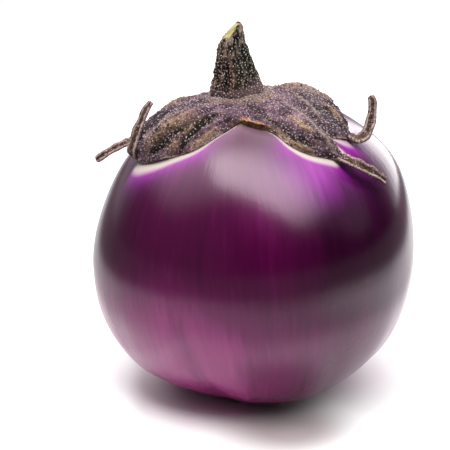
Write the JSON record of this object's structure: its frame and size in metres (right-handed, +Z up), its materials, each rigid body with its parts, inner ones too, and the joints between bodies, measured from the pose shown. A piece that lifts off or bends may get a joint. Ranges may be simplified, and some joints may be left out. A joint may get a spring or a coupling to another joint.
{
  "type": "eggplant",
  "caption": "Round violet eggplant as picked, with a leathery lobed calyx whose tips curl, and a short slant-cut stem, resting on a small flat spot.",
  "frame": {"origin": "middle of the small flat spot under the fruit that it rests on", "axes": "+Z up towards the stem, -Y towards the front, where two calyx lobes meet in a notch"},
  "size_m": [0.1096, 0.11, 0.1274],
  "materials": {
    "skin": "smooth waxy skin, deep purple with violet and cream near the calyx",
    "calyx": "dull, drying, leathery sepals with fine pale hairs and brown edges",
    "stem": "ribbed dark woody stalk with pale hair tufts and a pale cut end"
  },
  "bodies": {
    "root": {"fruit": "skin", "calyx": "calyx", "stem": "stem"}
  },
  "joints": []
}
